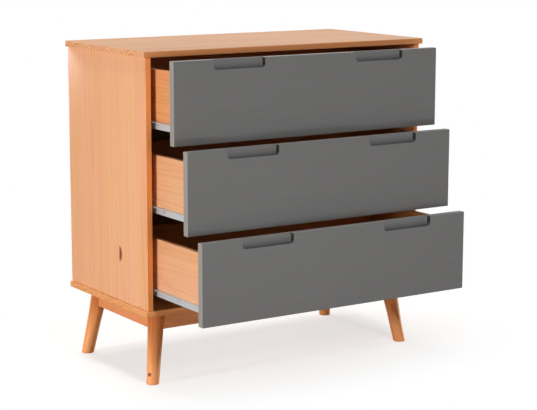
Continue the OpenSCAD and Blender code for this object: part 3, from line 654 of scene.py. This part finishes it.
def camera():
    """The photograph's viewpoint, with the whole picture in one lens and no shift."""
    data = bpy.data.cameras.new("camera")
    data.sensor_width = SENSOR_W
    data.lens = FOCAL_PX / PICTURE_W * SENSOR_W
    made = new_object("camera", data)
    made.location = CAMERA_PLACE
    turns = ((CAMERA_HEADING, "Z"), (90 + CAMERA_TILT, "X"), (CAMERA_ROLL, "Z"))
    heading, tilt, roll = (mathutils.Matrix.Rotation(math.radians(angle), 3, axis) for angle, axis in turns)
    made.rotation_euler = (heading @ tilt @ roll).to_euler()
    bpy.context.scene.camera = made
    bpy.context.scene.view_settings.view_transform = "Standard"


def middle_mm(node_name, axis):
    """Where the middle of a node's box lies along an axis, in millimetres."""
    return sum(corner[axis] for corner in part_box(node_name)) / 2 * MM


# What boards of a kind share: the axes along and across the grain, and the widths of a stave and of a year
panel_x = middle_mm("right_side_panel", X)
box_x = middle_mm("top_right_drawer_side", X)
panel = {"along": Z, "across": Y, "stave": 62, "ring": 7, "middle": panel_x, "edge": 1}
plank = {"along": X, "across": Y, "stave": 57, "ring": 11, "edge": 0.7}
box_side = {"along": Y, "across": Z, "stave": 140, "ring": 9, "middle": box_x}
rail = {"across": Z, "stave": 90, "ring": 6}
turned = {"along": Z, "across": Y, "stave": 90, "ring": 3.5, "source": "grain"}

panel_knots = [Knot(298.5, 47.5, 20.0, 15.0, side=-1), Knot(189.3, -54.8, 1.6, 1.6)]
left_wood = pine("lacquered_pine_left_side", tones=HONEY, seed=11, knots=panel_knots, knot_tone="#82330E",
                 **panel)
right_side_wood = pine("lacquered_pine_right_side", tones=HONEY, seed=14.6, **panel)
top_wood = pine("lacquered_pine_top", tones=HONEY_PALE, seed=23, middle=middle_mm("top_board", Z), **plank)
base_wood = pine("lacquered_pine_base", tones=HONEY_BASE, seed=27, middle=middle_mm("base_board", Z), **plank)
drawer_wood = {level: pine(f"lacquered_pine_{level}_drawer_side", tones=tones, seed=seed, **box_side)
               for level, tones, seed in (("top", HONEY_WARM, 3.1), ("middle", HONEY, 5.4),
                                          ("bottom", HONEY, 6.7))}
# Painted shade: the drawers' right sides and backs take the darker, redder copy of the honey tones
right_shaded_wood = pine("painted_shade_pine_right_drawer_sides", tones=HONEY_SHADED, seed=9.3, **box_side)
drawer_back_shaded_wood = pine("painted_shade_pine_drawer_back", X, Z, HONEY_SHADED, seed=8.2, stave=140, ring=6)
apron_wood = pine("lacquered_pine_apron", X, tones=HONEY_DEEP, seed=31, **rail)
side_apron_wood = pine("lacquered_pine_side_apron", Y, tones=HONEY_DARK, seed=37, **rail)
leg_wood = {name: pine(f"turned_pine_{name}_leg", tones=HONEY_DEEP, seed=seed, knots=knots,
                       knot_tone=knot_tone, **turned)
            for name, seed, knots, knot_tone in (
                ("front_left", 61.4, [Knot(22.0, -65.0, 5.2, 4.7, least=-60)], "#661C00"),
                ("front_right", 45.3, [Knot(80.0, -74.2, 27.0, 3.4, least=60, slant=0.16)], "#D67B46"),
                ("rear_left", 47.1, (), None), ("rear_right", 49.6, (), None))}
grey = grey_lacquer((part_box("top_drawer_front")[1][X] - 0.6 * FRONT_ARRIS) * MM)
across_ply = plywood("raw_poplar_ply_bottom", X)
upright_ply = plywood("raw_poplar_ply_back", Z)
sheet = zinc("rolled_zinc_sheet", "#C2C7CC", roughness=0.60, grain=0.7)
wire = zinc("zinc_screw", "#B9B9B7", roughness=0.30, grain=0.5)
roller = nylon()

boards = {"top_board": ("top_plank", top_wood), "base_board": ("base_plank", base_wood),
          "left_side_panel": ("left_side_plank", left_wood),
          "right_side_panel": ("right_side_plank", right_side_wood)}
for node_name, (name, material) in boards.items():
    eased_board(node_name, name, "carcass", material)
for end in ("front", "rear"):
    eased_board(f"{end}_apron", f"{end}_apron_rail", "carcass", apron_wood)
    for side in SIDES:
        leg(end, side, leg_wood[f"{end}_{side}"])
for side in SIDES:
    eased_board(f"{side}_apron", f"{side}_apron_rail", "carcass", side_apron_wood)
eased_board("corner_blocks", "corner_wedges", "carcass", apron_wood)
for level in LEVELS:
    body = f"{level}_drawer"
    drawer_front(level, grey)
    eased_board(f"{level}_drawer_back", f"{level}_box_back", body, drawer_back_shaded_wood)
    dress([f"{level}_drawer_bottom"], across_ply)
    dress([f"{level}_drawer_fittings"], wire)
    for side, material in (("left", drawer_wood[level]), ("right", right_shaded_wood)):
        eased_board(f"{level}_{side}_drawer_side", f"{level}_{side}_box_side", body, material)
        dress([f"{level}_{side}_drawer_rail", f"{level}_{side}_runner"], sheet)
        dress([f"{level}_{side}_front_roller", f"{level}_{side}_rear_roller"], roller)
dress(["back_panel"], upright_ply)
dress(["leg_bolts", "carcass_screws", "runner_screws"], wire)
dress(["carcass_dowels"], drawer_wood["middle"])

white_surroundings()
white_floor()
for name, settings in LAMPS.items():
    lamp(name, *settings)
camera()
